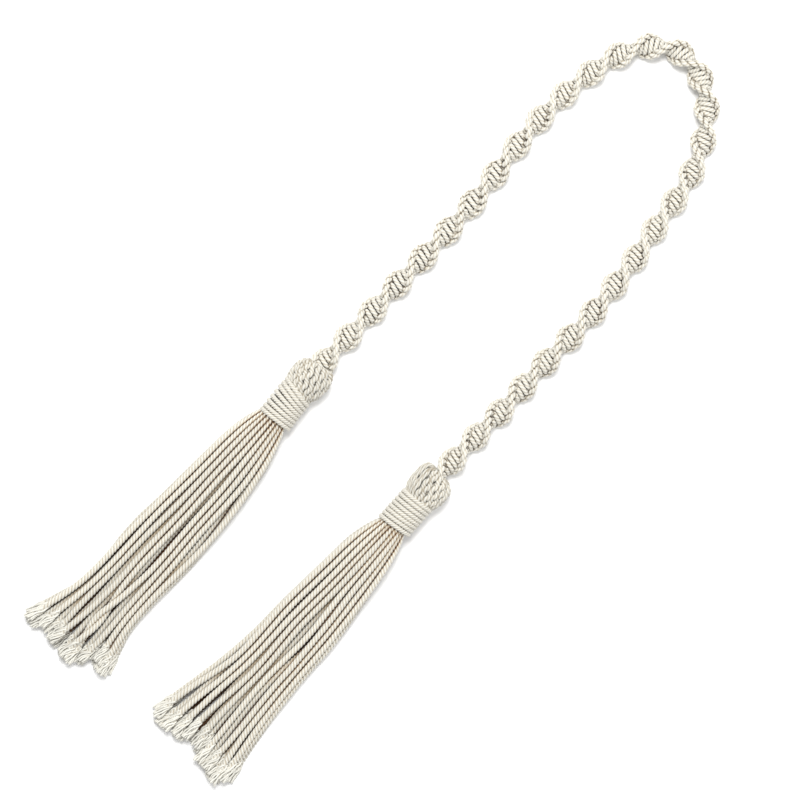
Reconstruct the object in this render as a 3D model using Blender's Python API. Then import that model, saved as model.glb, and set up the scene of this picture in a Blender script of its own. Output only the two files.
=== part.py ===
"""Macrame curtain tieback: a spiral knotted sinnet laid in a U, with a bound tassel at each end.

It lies on the surface z = 0. The bend points along +Y and the tassels along -Y.
Every size below is in millimetres, and MM turns them into metres.
"""

import math

import bmesh
import bpy

MM = 0.001

# Clearance between separate pieces, and half of the slit between two strands of a tassel
GAP = 0.3
STRAND_GAP = 0.14

# The sinnet's ends lie on y = 0 of the tables, and this moves the tables' zero into the part's frame
ORIGIN_X = -0.2
ORIGIN_Y = -28.7

# Spiral sinnet: two ridges of side loops wind left-handed round the axis, with a bar for each half knot
SINNET_WIDTH = 16.2
SINNET_THICKNESS = 11.0
BAR_RELIEF = 1.0
KNOTS_PER_HALF_TURN = 6
SINNET_SIDES = 10
SINNET_ROUNDNESS = 0.85

# The route of the sinnet's axis from the left end to the right end: x, y, z
ROUTE = (
    (-47.0, 0.0, 10.0),
    (-47.0, 6.0, 10.0),
    (-46.2, 33.0, 8.2),
    (-45.6, 69.0, 8.1),
    (-44.6, 105.0, 8.1),
    (-45.1, 141.0, 8.1),
    (-48.0, 177.0, 8.1),
    (-48.4, 207.0, 8.1),
    (-45.3, 234.0, 8.1),
    (-40.4, 254.5, 8.1),
    (-32.2, 270.3, 8.1),
    (-21.0, 280.4, 8.1),
    (-6.8, 283.8, 8.1),
    (10.0, 278.5, 8.1),
    (27.3, 262.2, 8.1),
    (40.2, 235.0, 8.1),
    (45.8, 199.0, 8.1),
    (50.4, 163.5, 8.1),
    (52.4, 127.5, 8.1),
    (51.2, 91.5, 8.1),
    (51.0, 55.5, 8.1),
    (49.8, 26.0, 8.3),
    (49.2, 6.0, 10.0),
    (49.2, 0.0, 10.0),
)

# Half turns of the spiral, counted from the first wide lobe: half turns, distance along the route
LOBES = (
    (-1.2, 0.0),
    (0.0, 25.0),
    (4.0, 112.0),
    (8.0, 198.5),
    (12.0, 279.0),
    (16.0, 355.0),
    (20.0, 436.0),
    (24.0, 518.0),
    (28.0, 599.0),
    (28.5, 609.0),
)

# A tassel's head, the cord folded over the sinnet's end: distance from its top, half width, half height
HEAD_ROWS = (
    (0.0, 7.0, 7.0),
    (1.6, 10.2, 9.4),
    (5.0, 12.2, 11.7),
    (11.0, 12.6, 11.8),
    (17.5, 11.8, 11.7),
)
HEAD_SHOULDER = 9.8
HEAD_RIDGE = 0.35
HEAD_SIDES = 24

# The bound neck and the binding round it, with two rings for each turn
AXIS_HEIGHT = 11.3
NECK_RADIUS = 8.5
WRAP_RADIUS = 11.3
WRAP_VALLEY = 0.7
WRAP_SIDES = 20

# Layers of strands in a tassel, from the lowest: number of strands, share of the skirt's half width
LAYERS = (
    (11, 1.0),
    (10, 0.97),
    (9, 0.88),
)
EDGE_ROUND = 0.95
MOUND = 0.3

# How the strands wander: share of a strand's width, length of one wave, and where the wander sets in
WANDER = 0.2
WANDER_LENGTH = 118.0
WANDER_START = 45.0
WANDER_SPREAD = 0.618

# Where a strand's cross sections lie, as shares of its free length, after the root inside the neck
STRAND_STEPS = (0.0, 0.035, 0.11, 0.25, 0.45, 0.62, 0.82, 1.0)
ROOT_DEPTH = 2.0

# Skirt of the left tassel: distance below its binding, half widths towards -X and +X, base, top, roundness
LEFT_SKIRT = (
    (-2.0, 8.1, 8.1, 3.2, 19.4, 1.0),
    (0.0, 8.2, 8.2, 3.1, 19.5, 1.0),
    (6.5, 13.6, 13.0, 0.2, 22.0, 0.95),
    (20.0, 16.2, 16.0, 0.0, 19.4, 0.8),
    (42.0, 17.8, 20.4, 0.0, 15.8, 0.5),
    (78.0, 20.2, 23.0, 0.0, 12.8, 0.25),
    (102.0, 22.2, 23.6, 0.0, 11.8, 0.15),
    (128.0, 20.9, 21.8, 0.0, 11.4, 0.1),
    (152.0, 23.2, 22.6, 0.0, 11.2, 0.05),
    (172.0, 30.6, 28.6, 0.0, 11.1, 0.0),
    (191.0, 35.0, 31.6, 0.0, 11.1, 0.0),
)

# Its uneven ends: lateral place from -1 to 1, length of the strands there
LEFT_ENDS = (
    (-1.0, 180.0),
    (-0.68, 187.5),
    (-0.45, 184.0),
    (-0.03, 190.5),
    (0.35, 186.0),
    (0.6, 179.5),
    (0.8, 183.0),
    (1.0, 178.0),
)

# The same for the right tassel
RIGHT_SKIRT = (
    (-2.0, 8.1, 8.1, 3.2, 19.4, 1.0),
    (0.0, 8.2, 8.2, 3.1, 19.5, 1.0),
    (6.5, 13.6, 13.0, 0.2, 22.0, 0.95),
    (20.0, 15.8, 15.4, 0.0, 19.4, 0.8),
    (42.0, 18.0, 18.6, 0.0, 15.8, 0.5),
    (77.0, 20.4, 22.2, 0.0, 12.8, 0.25),
    (95.0, 21.0, 22.2, 0.0, 11.8, 0.15),
    (125.0, 24.6, 24.0, 0.0, 11.3, 0.05),
    (150.0, 29.4, 26.8, 0.0, 11.1, 0.0),
    (184.0, 34.4, 32.4, 0.0, 11.1, 0.0),
)
RIGHT_ENDS = (
    (-1.0, 170.0),
    (-0.64, 180.0),
    (-0.45, 176.0),
    (-0.3, 180.0),
    (-0.15, 175.0),
    (0.24, 181.0),
    (0.7, 183.0),
    (1.0, 174.0),
)

# The two tassels: name, x of the axis, head length, binding length, turns of the binding, skirt, ends
TASSELS = (
    ("left", -47.0, 21.6, 21.6, 8, LEFT_SKIRT, LEFT_ENDS),
    ("right", 49.2, 23.8, 20.6, 9, RIGHT_SKIRT, RIGHT_ENDS),
)

# Natural cotton in linear colour
COTTON = (0.70, 0.64, 0.53, 1.0)
BINDING = (0.72, 0.67, 0.57, 1.0)
ROUGHNESS = 0.95
SHARP_ANGLE = math.radians(50)


def clear_scene():
    for obj in list(bpy.data.objects):
        bpy.data.objects.remove(obj, do_unlink=True)


def make_material(name, colour):
    material = bpy.data.materials.new(name)
    material.use_nodes = True
    shader = material.node_tree.nodes["Principled BSDF"]
    shader.inputs["Base Color"].default_value = colour
    shader.inputs["Roughness"].default_value = ROUGHNESS
    shader.inputs["Metallic"].default_value = 0.0
    return material


def add_object(name, points, faces, material):
    """A smooth-shaded mesh object, with its faces turned outwards."""
    mesh = bpy.data.meshes.new(name)
    mesh.from_pydata([((x + ORIGIN_X) * MM, (y + ORIGIN_Y) * MM, z * MM) for x, y, z in points], [], faces)
    shape = bmesh.new()
    shape.from_mesh(mesh)
    bmesh.ops.recalc_face_normals(shape, faces=shape.faces)
    shape.to_mesh(mesh)
    shape.free()
    mesh.materials.append(material)
    mesh.shade_smooth()
    mesh.set_sharp_from_angle(angle=SHARP_ANGLE)
    obj = bpy.data.objects.new(name, mesh)
    bpy.context.collection.objects.link(obj)
    return obj


def slope(rows, index, column):
    """Slope of a column at a row, from the rows on both sides of it."""
    if index in (0, len(rows) - 1):
        low, high = (0, 1) if index == 0 else (index - 1, index)
        return (rows[high][column] - rows[low][column]) / (rows[high][0] - rows[low][0])
    before = rows[index][0] - rows[index - 1][0]
    after = rows[index + 1][0] - rows[index][0]
    slope_before = (rows[index][column] - rows[index - 1][column]) / before
    slope_after = (rows[index + 1][column] - rows[index][column]) / after
    return (slope_before * after + slope_after * before) / (before + after)


def read_rows(rows, at):
    """Smooth values of a table's other columns where its first column is at."""
    at = min(max(at, rows[0][0]), rows[-1][0])
    index = max(i for i in range(len(rows) - 1) if rows[i][0] <= at)
    step = rows[index + 1][0] - rows[index][0]
    u = (at - rows[index][0]) / step
    values = []
    for column in range(1, len(rows[0])):
        start, end = rows[index][column], rows[index + 1][column]
        pull_start = slope(rows, index, column) * step
        pull_end = slope(rows, index + 1, column) * step
        bend_start = pull_start - (end - start)
        bend_end = (end - start) - pull_end
        values.append(start + u * (end - start) + u * (1 - u) * ((1 - u) * bend_start + u * bend_end))
    return values


def route_rows():
    """The route with the distance along it as the first column."""
    rows = [(0.0,) + ROUTE[0]]
    for last, point in zip(ROUTE, ROUTE[1:]):
        rows.append((rows[-1][0] + math.dist(last, point),) + point)
    return rows


def tube_faces(first, rings, sides):
    """Quads along a run of rings, closed by a face at each end."""
    faces = [tuple(first + i for i in range(sides))]
    for ring in range(rings - 1):
        low = first + ring * sides
        for i in range(sides):
            j = (i + 1) % sides
            faces.append((low + i, low + j, low + sides + j, low + sides + i))
    last = first + (rings - 1) * sides
    faces.append(tuple(last + i for i in range(sides)))
    return faces


def power(value, exponent):
    return math.copysign(abs(value) ** exponent, value)


def sinnet_ring(route, half_turns, distance, relief):
    """Cross section of the sinnet: an oval across its two ridges, turned by the spiral."""
    reach = 0.5
    centre = read_rows(route, distance)
    behind = read_rows(route, distance - reach)
    ahead = read_rows(route, distance + reach)
    run_x, run_y = ahead[0] - behind[0], ahead[1] - behind[1]
    run = math.hypot(run_x, run_y)
    side_x, side_y = run_y / run, -run_x / run
    turn = math.pi * half_turns
    half_width = SINNET_WIDTH / 2 - relief
    half_thickness = SINNET_THICKNESS / 2 - relief
    ring = []
    for i in range(SINNET_SIDES):
        angle = 2 * math.pi * i / SINNET_SIDES
        across = half_width * power(math.cos(angle), SINNET_ROUNDNESS)
        over = half_thickness * power(math.sin(angle), SINNET_ROUNDNESS)
        lateral = across * math.cos(turn) - over * math.sin(turn)
        height = across * math.sin(turn) + over * math.cos(turn)
        x = centre[0] + side_x * lateral
        y = centre[1] + side_y * lateral
        ring.append((x, y, max(centre[2] + height, 0.0)))
    return ring


def make_sinnet(material):
    """One ridged sweep along the route, with a crest at each half knot and a valley between two."""
    route = route_rows()
    length = route[-1][0]
    first_knot = math.ceil(LOBES[0][0] * KNOTS_PER_HALF_TURN)
    last_knot = math.floor(LOBES[-1][0] * KNOTS_PER_HALF_TURN)
    stations = []
    for step in range(2 * first_knot, 2 * last_knot + 1):
        half_turns = step / (2 * KNOTS_PER_HALF_TURN)
        relief = BAR_RELIEF if step % 2 else 0.0
        stations.append((half_turns, read_rows(LOBES, half_turns)[0], relief))
    stations[0] = (stations[0][0], 0.0, BAR_RELIEF)
    stations[-1] = (stations[-1][0], length, BAR_RELIEF)
    points = []
    for half_turns, distance, relief in stations:
        points.extend(sinnet_ring(route, half_turns, distance, relief))
    return add_object("sinnet", points, tube_faces(0, len(stations), SINNET_SIDES), material)


def head_ring(axis_x, y, half_width, half_height, ridge):
    """Cross section of a head, flat where it lies on the surface."""
    ring = []
    for i in range(HEAD_SIDES):
        angle = 2 * math.pi * i / HEAD_SIDES - math.pi / 2
        bulge = ridge if i % 2 else -ridge
        x = axis_x + (half_width + bulge) * math.cos(angle)
        z = AXIS_HEIGHT + (half_height + bulge) * math.sin(angle)
        ring.append((x, y, max(z, 0.0)))
    return ring


def make_head(name, axis_x, head_length, wrap_length, material):
    """The folded cords of the head, and the neck that the binding holds."""
    points = []
    for distance, half_width, half_height in HEAD_ROWS:
        points.extend(head_ring(axis_x, -GAP - distance, half_width, half_height, HEAD_RIDGE))
    shoulder = -GAP - head_length
    points.extend(head_ring(axis_x, shoulder, HEAD_SHOULDER, HEAD_SHOULDER, 0.0))
    points.extend(head_ring(axis_x, shoulder, NECK_RADIUS, NECK_RADIUS, 0.0))
    points.extend(head_ring(axis_x, shoulder - wrap_length, NECK_RADIUS, NECK_RADIUS, 0.0))
    rings = len(HEAD_ROWS) + 3
    return add_object(name, points, tube_faces(0, rings, HEAD_SIDES), material)


def make_wrap(name, axis_x, head_length, wrap_length, turns, material):
    """The binding: a sleeve round the neck, with a ridge for each turn of its cord."""
    start = -GAP - head_length - GAP
    length = wrap_length - 2 * GAP
    bore = NECK_RADIUS + GAP
    profile = [(start, bore)]
    for step in range(2 * turns + 1):
        radius = WRAP_RADIUS if step % 2 else WRAP_RADIUS - WRAP_VALLEY
        profile.append((start - length * step / (2 * turns), radius))
    profile.append((start - length, bore))
    points = []
    for i in range(WRAP_SIDES):
        angle = 2 * math.pi * i / WRAP_SIDES - math.pi / 2
        for y, radius in profile:
            points.append((axis_x + radius * math.cos(angle), y, AXIS_HEIGHT + radius * math.sin(angle)))
    count = len(profile)
    faces = []
    for i in range(WRAP_SIDES):
        here = i * count
        there = (i + 1) % WRAP_SIDES * count
        for j in range(count):
            k = (j + 1) % count
            faces.append((here + j, here + k, there + k, there + j))
    return add_object(name, points, faces, material)


def smooth_step(value):
    value = min(max(value, 0.0), 1.0)
    return value * value * (3 - 2 * value)


def column_edge(layer, column, distance, roundness):
    """Lateral place, from -1 to 1, of the line between two strands of a layer."""
    count, share = LAYERS[layer]
    place = 2 * column / count - 1
    if 0 < column < count:
        phase = WANDER_SPREAD * (column + count * layer)
        swing = math.sin(2 * math.pi * (distance / WANDER_LENGTH + phase))
        place += WANDER * 2 / count * swing * smooth_step(distance / WANDER_START)
    return place * (1 - (1 - share) * (1 - roundness))


def layer_height(place, section, level):
    """Height of the line at a share level of the way up the skirt, at a lateral place."""
    base, top, roundness = section[2:]
    thickness = top - base
    drop = thickness / 2 * (1 - math.sqrt(1 - (EDGE_ROUND * place) ** 2))
    low = max(base + roundness * drop, 0.0)
    high = top - (MOUND + (1 - MOUND) * roundness) * drop
    return low + level * (high - low)


def strand_ring(axis_x, wrap_end, skirt, layer, column, distance):
    """Four-sided cross section of a strand, in its own cell of the skirt's cross section."""
    section = read_rows(skirt, distance)
    roundness = section[4]
    left = column_edge(layer, column, distance, roundness)
    right = column_edge(layer, column + 1, distance, roundness)
    level_low = layer / len(LAYERS)
    level_high = (layer + 1) / len(LAYERS)
    ring = []
    for place, inset_x, level, inset_z in (
        (left, STRAND_GAP, level_low, STRAND_GAP),
        (right, -STRAND_GAP, level_low, STRAND_GAP),
        (right, -STRAND_GAP, level_high, -STRAND_GAP),
        (left, STRAND_GAP, level_high, -STRAND_GAP),
    ):
        half_width = section[0] if place < 0 else section[1]
        z = layer_height(place, section, level)
        if layer or inset_z < 0:
            z += inset_z
        ring.append((axis_x + place * half_width + inset_x, wrap_end - distance, z))
    return ring


def make_strands(name, axis_x, wrap_end, skirt, ends, material):
    """All the strands of a tassel in layers, each closed and apart from its neighbours."""
    points = []
    faces = []
    for layer, (count, share) in enumerate(LAYERS):
        for column in range(count):
            place = ((2 * column + 1) / count - 1) * share
            length = read_rows(ends, place)[0]
            first = len(points)
            points.extend(strand_ring(axis_x, wrap_end, skirt, layer, column, -ROOT_DEPTH))
            for step in STRAND_STEPS:
                points.extend(strand_ring(axis_x, wrap_end, skirt, layer, column, step * length))
            faces.extend(tube_faces(first, len(STRAND_STEPS) + 1, 4))
    return add_object(name, points, faces, material)


def join_strands(head, strands):
    """The strands' roots grow out of the neck."""
    union = head.modifiers.new("strand roots", "BOOLEAN")
    union.operation = "UNION"
    union.object = strands
    strands.hide_render = True
    strands.display_type = "WIRE"


def main():
    clear_scene()
    make_sinnet(make_material("sinnet cotton", COTTON))
    for side, axis_x, head_length, wrap_length, turns, skirt, ends in TASSELS:
        cotton = make_material("tassel cotton " + side, COTTON)
        head = make_head("tassel_" + side, axis_x, head_length, wrap_length, cotton)
        wrap_end = -GAP - head_length - wrap_length
        strands = make_strands("strands_" + side, axis_x, wrap_end, skirt, ends, cotton)
        join_strands(head, strands)
        binding = make_material("binding cotton " + side, BINDING)
        make_wrap("wrap_" + side, axis_x, head_length, wrap_length, turns, binding)


main()
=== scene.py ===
"""Natural cotton curtain tieback: a spiral knotted sinnet laid in a U, with a bound tassel at each end.

Every cord is a laid one of three plies that follows its real path: round the knots, over a tassel's
head, round its neck and down the skirt, where its yarns are teased open.
Tables are in millimetres, in the same places as the CAD source, and MM turns them into metres.
"""

import math

import bpy
import numpy as np
from bpy.props import FloatProperty, FloatVectorProperty, PointerProperty
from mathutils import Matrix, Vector
from mathutils.kdtree import KDTree


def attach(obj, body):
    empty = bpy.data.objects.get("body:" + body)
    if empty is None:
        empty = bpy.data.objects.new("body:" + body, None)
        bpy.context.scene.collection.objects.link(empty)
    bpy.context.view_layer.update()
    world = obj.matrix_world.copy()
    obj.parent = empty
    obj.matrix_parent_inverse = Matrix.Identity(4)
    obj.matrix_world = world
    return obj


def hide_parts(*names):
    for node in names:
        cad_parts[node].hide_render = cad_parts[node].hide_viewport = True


bl_info = {
    "name": "Knotted Cotton Tieback",
    "version": (1, 0, 0),
    "blender": (4, 5, 0),
    "location": "3D View > Sidebar > Tieback",
    "description": "Builds a spiral knotted cotton curtain tieback with two bound tassels",
    "category": "Add Mesh",
}

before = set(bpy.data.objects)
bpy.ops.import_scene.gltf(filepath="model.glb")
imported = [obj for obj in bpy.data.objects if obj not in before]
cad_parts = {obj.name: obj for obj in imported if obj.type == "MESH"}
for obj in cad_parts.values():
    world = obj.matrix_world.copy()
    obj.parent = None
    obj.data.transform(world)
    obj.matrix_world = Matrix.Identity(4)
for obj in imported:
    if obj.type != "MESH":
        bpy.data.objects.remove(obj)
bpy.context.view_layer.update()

MM = 0.001
SEEDS = {"sinnet": 9, "heads": 7, "bindings": 8, "left": 17, "right": 18}

# Sizes that repeat the CAD source: gap above a head, origin, knots in a half turn, height of the tassels
GAP = 0.3
ORIGIN = (-0.2, -28.7, 0.0)
KNOTS_PER_HALF_TURN = 6
AXIS_HEIGHT = 11.3

# The route of the sinnet's axis from the left end to the right end: x, y, z
ROUTE = (
    (-47.0, 0.0, 10.0),
    (-47.0, 6.0, 10.0),
    (-46.2, 33.0, 8.2),
    (-45.6, 69.0, 8.1),
    (-44.6, 105.0, 8.1),
    (-45.1, 141.0, 8.1),
    (-48.0, 177.0, 8.1),
    (-48.4, 207.0, 8.1),
    (-45.3, 234.0, 8.1),
    (-40.4, 254.5, 8.1),
    (-32.2, 270.3, 8.1),
    (-21.0, 280.4, 8.1),
    (-6.8, 283.8, 8.1),
    (10.0, 278.5, 8.1),
    (27.3, 262.2, 8.1),
    (40.2, 235.0, 8.1),
    (45.8, 199.0, 8.1),
    (50.4, 163.5, 8.1),
    (52.4, 127.5, 8.1),
    (51.2, 91.5, 8.1),
    (51.0, 55.5, 8.1),
    (49.8, 26.0, 8.3),
    (49.2, 6.0, 10.0),
    (49.2, 0.0, 10.0),
)

# Half turns of the spiral, counted from the first wide lobe: half turns, distance along the route
LOBES = (
    (-1.2, 0.0),
    (0.0, 25.0),
    (4.0, 112.0),
    (8.0, 198.5),
    (12.0, 279.0),
    (16.0, 355.0),
    (20.0, 436.0),
    (24.0, 518.0),
    (28.0, 599.0),
    (28.5, 609.0),
)

# One half knot of a working cord: knots along, across the sinnet, over its filler cords.
# The cord bars the front, dives inside the other working cord, runs down the side and passes over
# the end of the next bar before it dives to the back.
HALF_KNOT = (
    (-0.16, -4.2, 1.0),
    (-0.18, -2.7, 2.0),
    (0.0, 0.0, 2.4),
    (0.18, 2.7, 2.0),
    (0.24, 3.9, 0.9),
    (0.3, 4.9, -0.6),
    (0.55, 6.0, -1.2),
    (1.0, 6.65, -0.6),
    (1.45, 6.65, 0.4),
    (1.8, 6.0, 1.3),
    (2.0, 5.1, 1.6),
    (1.9, 4.2, 0.7),
)

# Random shift of a knot's places, share of it in knots along the cord, points between two places
KNOT_JITTER = 0.1
JITTER_ALONG = 0.3
POINTS_PER_PLACE = 6

# Filler cords: distance from the axis, step and overhang in knots
FILLER_OFFSET = 1.6
FILLER_STEP = 0.1
FILLER_OVERHANG = 0.5

# Length of half a turn past the table of lobes, and reach over which the route's direction is read
LOBE_LENGTH = 20.5
RUN_REACH = 0.5

# Loops of a ridge: start and length of their step across the sinnet, loss of painted gap shade and of width
RIDGE_STEP = (3.4, 1.6)
RIDGE_SHADE_LOSS = 0.65
RIDGE_THINNING = 0.08

# Layers of strands in a tassel, from the lowest: number of strands, share of the skirt's half width
LAYERS = (
    (11, 1.0),
    (10, 0.97),
    (9, 0.88),
)

# Cross section of a skirt: share of a half circle that its width takes, and least share of that rounding
# that its upper side keeps where it lies flat
EDGE_ROUND = 0.95
MOUND = 0.3

# Skirt of the left tassel: distance below its binding, half widths towards -X and +X, base, top, roundness
LEFT_SKIRT = (
    (-4.0, 8.2, 8.2, 3.1, 19.5, 1.0),
    (0.0, 11.8, 11.8, 1.6, 21.0, 1.0),
    (6.0, 14.2, 13.6, 0.2, 22.0, 0.95),
    (20.0, 16.2, 17.0, 0.0, 19.4, 0.8),
    (42.0, 17.8, 20.4, 0.0, 15.8, 0.5),
    (78.0, 20.2, 23.0, 0.0, 12.8, 0.25),
    (102.0, 22.2, 23.6, 0.0, 11.8, 0.15),
    (128.0, 20.9, 21.8, 0.0, 11.4, 0.1),
    (152.0, 23.2, 22.6, 0.0, 11.2, 0.05),
    (172.0, 30.6, 28.6, 0.0, 11.1, 0.0),
    (191.0, 35.0, 31.6, 0.0, 11.1, 0.0),
)

# Its uneven ends: lateral place from -1 to 1, length of the strands there
LEFT_ENDS = (
    (-1.0, 180.0),
    (-0.68, 187.5),
    (-0.45, 184.0),
    (-0.03, 190.5),
    (0.35, 186.0),
    (0.6, 179.5),
    (0.8, 183.0),
    (1.0, 178.0),
)

# The same for the right tassel
RIGHT_SKIRT = (
    (-4.0, 8.2, 8.2, 3.1, 19.5, 1.0),
    (0.0, 12.4, 11.2, 1.6, 21.0, 1.0),
    (6.0, 14.6, 13.0, 0.2, 22.0, 0.95),
    (20.0, 16.4, 15.2, 0.0, 19.4, 0.8),
    (42.0, 18.0, 18.6, 0.0, 15.8, 0.5),
    (77.0, 20.4, 22.2, 0.0, 12.8, 0.25),
    (95.0, 21.0, 22.2, 0.0, 11.8, 0.15),
    (125.0, 24.6, 24.0, 0.0, 11.3, 0.05),
    (150.0, 30.4, 26.8, 0.0, 11.1, 0.0),
    (184.0, 35.4, 32.4, 0.0, 11.1, 0.0),
)
RIGHT_ENDS = (
    (-1.0, 170.0),
    (-0.64, 180.0),
    (-0.45, 176.0),
    (-0.3, 180.0),
    (-0.15, 175.0),
    (0.24, 181.0),
    (0.7, 183.0),
    (1.0, 174.0),
)

# The two tassels: name, x of the axis, head length, binding length, turns of the binding, skirt, ends
TASSELS = (
    ("left", -47.0, 21.6, 21.6, 7.5, LEFT_SKIRT, LEFT_ENDS),
    ("right", 49.2, 23.8, 20.6, 7.5, RIGHT_SKIRT, RIGHT_ENDS),
)

# Cross section of a laid cord of three plies: share of the radius at each of its points
LAID_PROFILE = (1.0, 0.9, 0.6, 0.9) * 3
TIGHT_PROFILE = (1.0, 0.94, 0.74, 0.94) * 3
YARN_PROFILE = (1.0,) * 5

# A folded cord of a head, from inside the binding to the hole in its top: radius, distance from the top
# as a share of the head's length
HEAD_FOLD = (
    (8.3, 1.4),
    (8.7, 1.05),
    (10.1, 0.86),
    (10.9, 0.62),
    (10.9, 0.35),
    (10.3, 0.15),
    (8.8, 0.03),
    (6.5, 0.0),
    (5.1, 0.1),
    (4.8, 0.3),
)

# Groups of folded cords round a head: first angle at the binding, step, number, turn up to the top, lift
# over the neighbours, sway across their run, thickness, lay. Angles go from +X over the top to -X.
HEAD_GROUPS = {
    "left": (
        (-10.0, 17.5, 5, 28.0, 0.5, 0.5, 1.0, 1.0),
        (77.0, 17.0, 3, 24.0, 0.0, 0.7, 1.0, 1.0),
        (129.0, 17.5, 5, 16.0, 0.0, 0.5, 1.0, 1.0),
        (-28.0, -17.5, 8, 0.0, 0.0, 0.0, 1.0, 1.0),
    ),
    "right": (
        (-10.0, 17.0, 3, 4.0, 0.4, 0.3, 1.0, 1.0),
        (41.0, 16.0, 5, 8.0, 0.0, 0.6, 1.0, 1.0),
        (121.0, 12.0, 7, 2.0, 0.8, 0.3, 0.7, 1.8),
        (-27.5, -17.5, 8, 0.0, 0.0, 0.0, 1.0, 1.0),
    ),
}
SWAY_PERIOD = 7.2
HEAD_SLANT = {"left": 1.5, "right": -1.5}

# Binding of each tassel: rise of its first and last turns above the ends of the CAD sleeve, slant of both,
# shift of its last turn towards +X
BINDING_LEAN = {"left": (4.1, 0.9, 1.6, -1.4, 1.0), "right": (5.8, 2.9, -1.2, -1.8, 0.0)}

# Outer cords of a head: largest and lowest place of their middle line, radius and lift of their sway,
# points along one, random angle, turn and lift
MOST_HEAD_RADIUS = 11.6
LOWEST_HEAD_CORD = 2.0
SWAY_RADIUS = 10.7
SWAY_LIFT = 0.6
FOLD_POINTS = 90
HEAD_JITTER = (0.05, 0.1, 0.2)

# Inner cords of a head, seen in its gaps: number, turn, share of the outer cords' radius
INNER_CORDS = 14
INNER_TURN = -0.3
INNER_SHARE = 0.78

# Binding cord: radius of its helix, random sway, points in a turn, share of the lay
BINDING_RADIUS = 9.9
BINDING_JITTER = 0.28
POINTS_PER_TURN = 48
BINDING_LAY = 0.8

# Strands in the binding: radius and half angle of the outer layers' arcs, half width and stagger of the
# middle layer, depth of their start
ROOT_RADIUS = 7.0
ROOT_SPREAD = 1.4
ROOT_CORE = 4.9
ROOT_STAGGER = 1.5
ROOT_DEPTH = 8.0

# Start and length of the steps in which strands spread sideways and in height, swell, sway and get painted
# shade
SPLAY_STEP = (-5.0, 7.0)
FAN_STEP = (0.0, 22.0)
SWELL_STEP = (0.0, 25.0)
SWAY_STEP = (0.0, 40.0)
SHADE_STEP = (-2.0, 28.0)

# Radius of a strand in the binding and free, share of the squeeze that its thickness shows
TIGHT_STRAND = 1.45
FULL_STRAND = 1.95
SQUEEZE = 0.6

# Strength of the painted shade in the strands' gaps: places below the binding, random first value, the
# others
GAP_PLACES = (5.0, 30.0, 110.0, 165.0)
ROOT_GAP_SHADE = (0.6, 1.0)
GAP_SHADE_STRENGTHS = (1.1, 1.1, 0.6)

# Steps between the stations where strands push each other and on a finished strand, last station
STATION_STEP = 4.0
STRAND_STEP = 0.6
LONGEST_STRAND = 192.0

# Sway of a strand: share of its cell, places along it
STRAND_SWAY = 1.3
SWAY_PLACES = 6

# Settling: share of an overlap and most millimetres moved in a pass, pull back, smoothing, passes
PUSH = 0.25
MOST_PUSH = 0.6
PULL_BACK = 0.02
SMOOTHING = 0.5
SETTLE_PASSES = 120

# Painted shade under neighbours: reach beside and above and step in from the edge, in strand radii; cover
# without painted shade, most painted shade
SHADE_BESIDE = 2.6
SHADE_ABOVE = 1.2
EDGE_STEP = (1.2, 2.0)
FREE_COVER = 0.4
MOST_SHADE = 0.8

# Ends: random length, share of the height and length of the droop, lowest middle line, share of the
# fray length that the laid strand leaves to its yarns
END_JITTER = (-2.5, 0.5)
END_DROOP = 0.25
DROOP_LENGTH = 24.0
LOWEST_STRAND = 1.2
LAID_END = 0.7

# Teased yarns: number in a strand, radius, start in fray lengths, end, step, random angle
YARNS_PER_STRAND = 14
YARN_RADIUS = 0.58
YARN_STARTS = (0.8, 1.5)
YARN_ENDS = (-1.8, 0.0)
YARN_STEP = 0.7
YARN_JITTER = 0.3
# Their places in shares of the strand's radius, spread, untwisting, depth and length of their waves
YARN_INSETS = (0.4, 0.85, 0.85)
YARN_SPREAD = 0.5
YARN_TWIST = 2.2
YARN_WAVE = 0.25
YARN_WAVE_LENGTHS = (5.5, 9.0)

# Share of a cord's diameter that is left as its radius in a knot and in a fold, largest random start
KNOTTED_SHARE = 0.4
FOLDED_SHARE = 0.43
MOST_PHASE = 6

# For each kind of cord: step between its rings of points, depth of the painted shade in the gaps beside it
RINGS = {"knot": 1.1, "filler": 1.6, "inner": 1.3, "head": 0.9, "binding": 0.8, "strand": 1.15, "yarn": 1.0}
GAP_SHADE_DEPTH = {"knot": 0.9, "head": 0.4, "binding": 0.2, "strand": 0.95, "yarn": 0.25}

# Tones beside the material's colour, some random; painted shade as darker tones on the filler cords, the
# inner head cords and the lower layers of strands, and as shade all round the filler cords
FILLER_SHADED_TONE = 0.8
FILLER_PAINTED_SHADE = 0.85
INNER_SHADED_TONE = 0.85
HEAD_TONES = (0.86, 0.94)
BINDING_TONE = 0.95
LAYER_SHADED_TONES = (0.93, 0.97, 1.0)
STRAND_TONES = (0.95, 1.03)
YARN_TONES = (1.02, 1.12)

# Meshes: least height, radius of the fibres on an end, radii along which a cord isn't its own neighbour
FLOOR_CLEARANCE = 0.02
CAP_RADIUS = 0.3
OWN_REACH = 2.6
# Strips on the unit square: allowance round a cord, margins of a strip and of the square
STRIP_ALLOWANCE = 1.2
STRIP_MARGIN = 0.08
SQUARE_MARGIN = 0.004

# Cotton's surface. Its fibres don't shine, and loose ones make a faint bloom.
COTTON_SURFACE = {
    "Roughness": 0.92,
    "IOR": 1.5,
    "Specular IOR Level": 0.2,
    "Sheen Weight": 0.25,
    "Sheen Roughness": 0.5,
}
# Metres that a yarn runs along the cord before it dips into a ply, and from one yarn to the next
YARN_RUN = 0.006
YARN_SPACING = 0.0005
# Painted shade in the grooves between plies: its colour, and share of it where they are deepest, also in
# the loose strands
GROOVE_SHADE_COLOUR = "A99A7E"
PLY_SHADE_SHARE = 0.6
STRAND_PLY_SHADE_SHARE = 0.8
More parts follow.
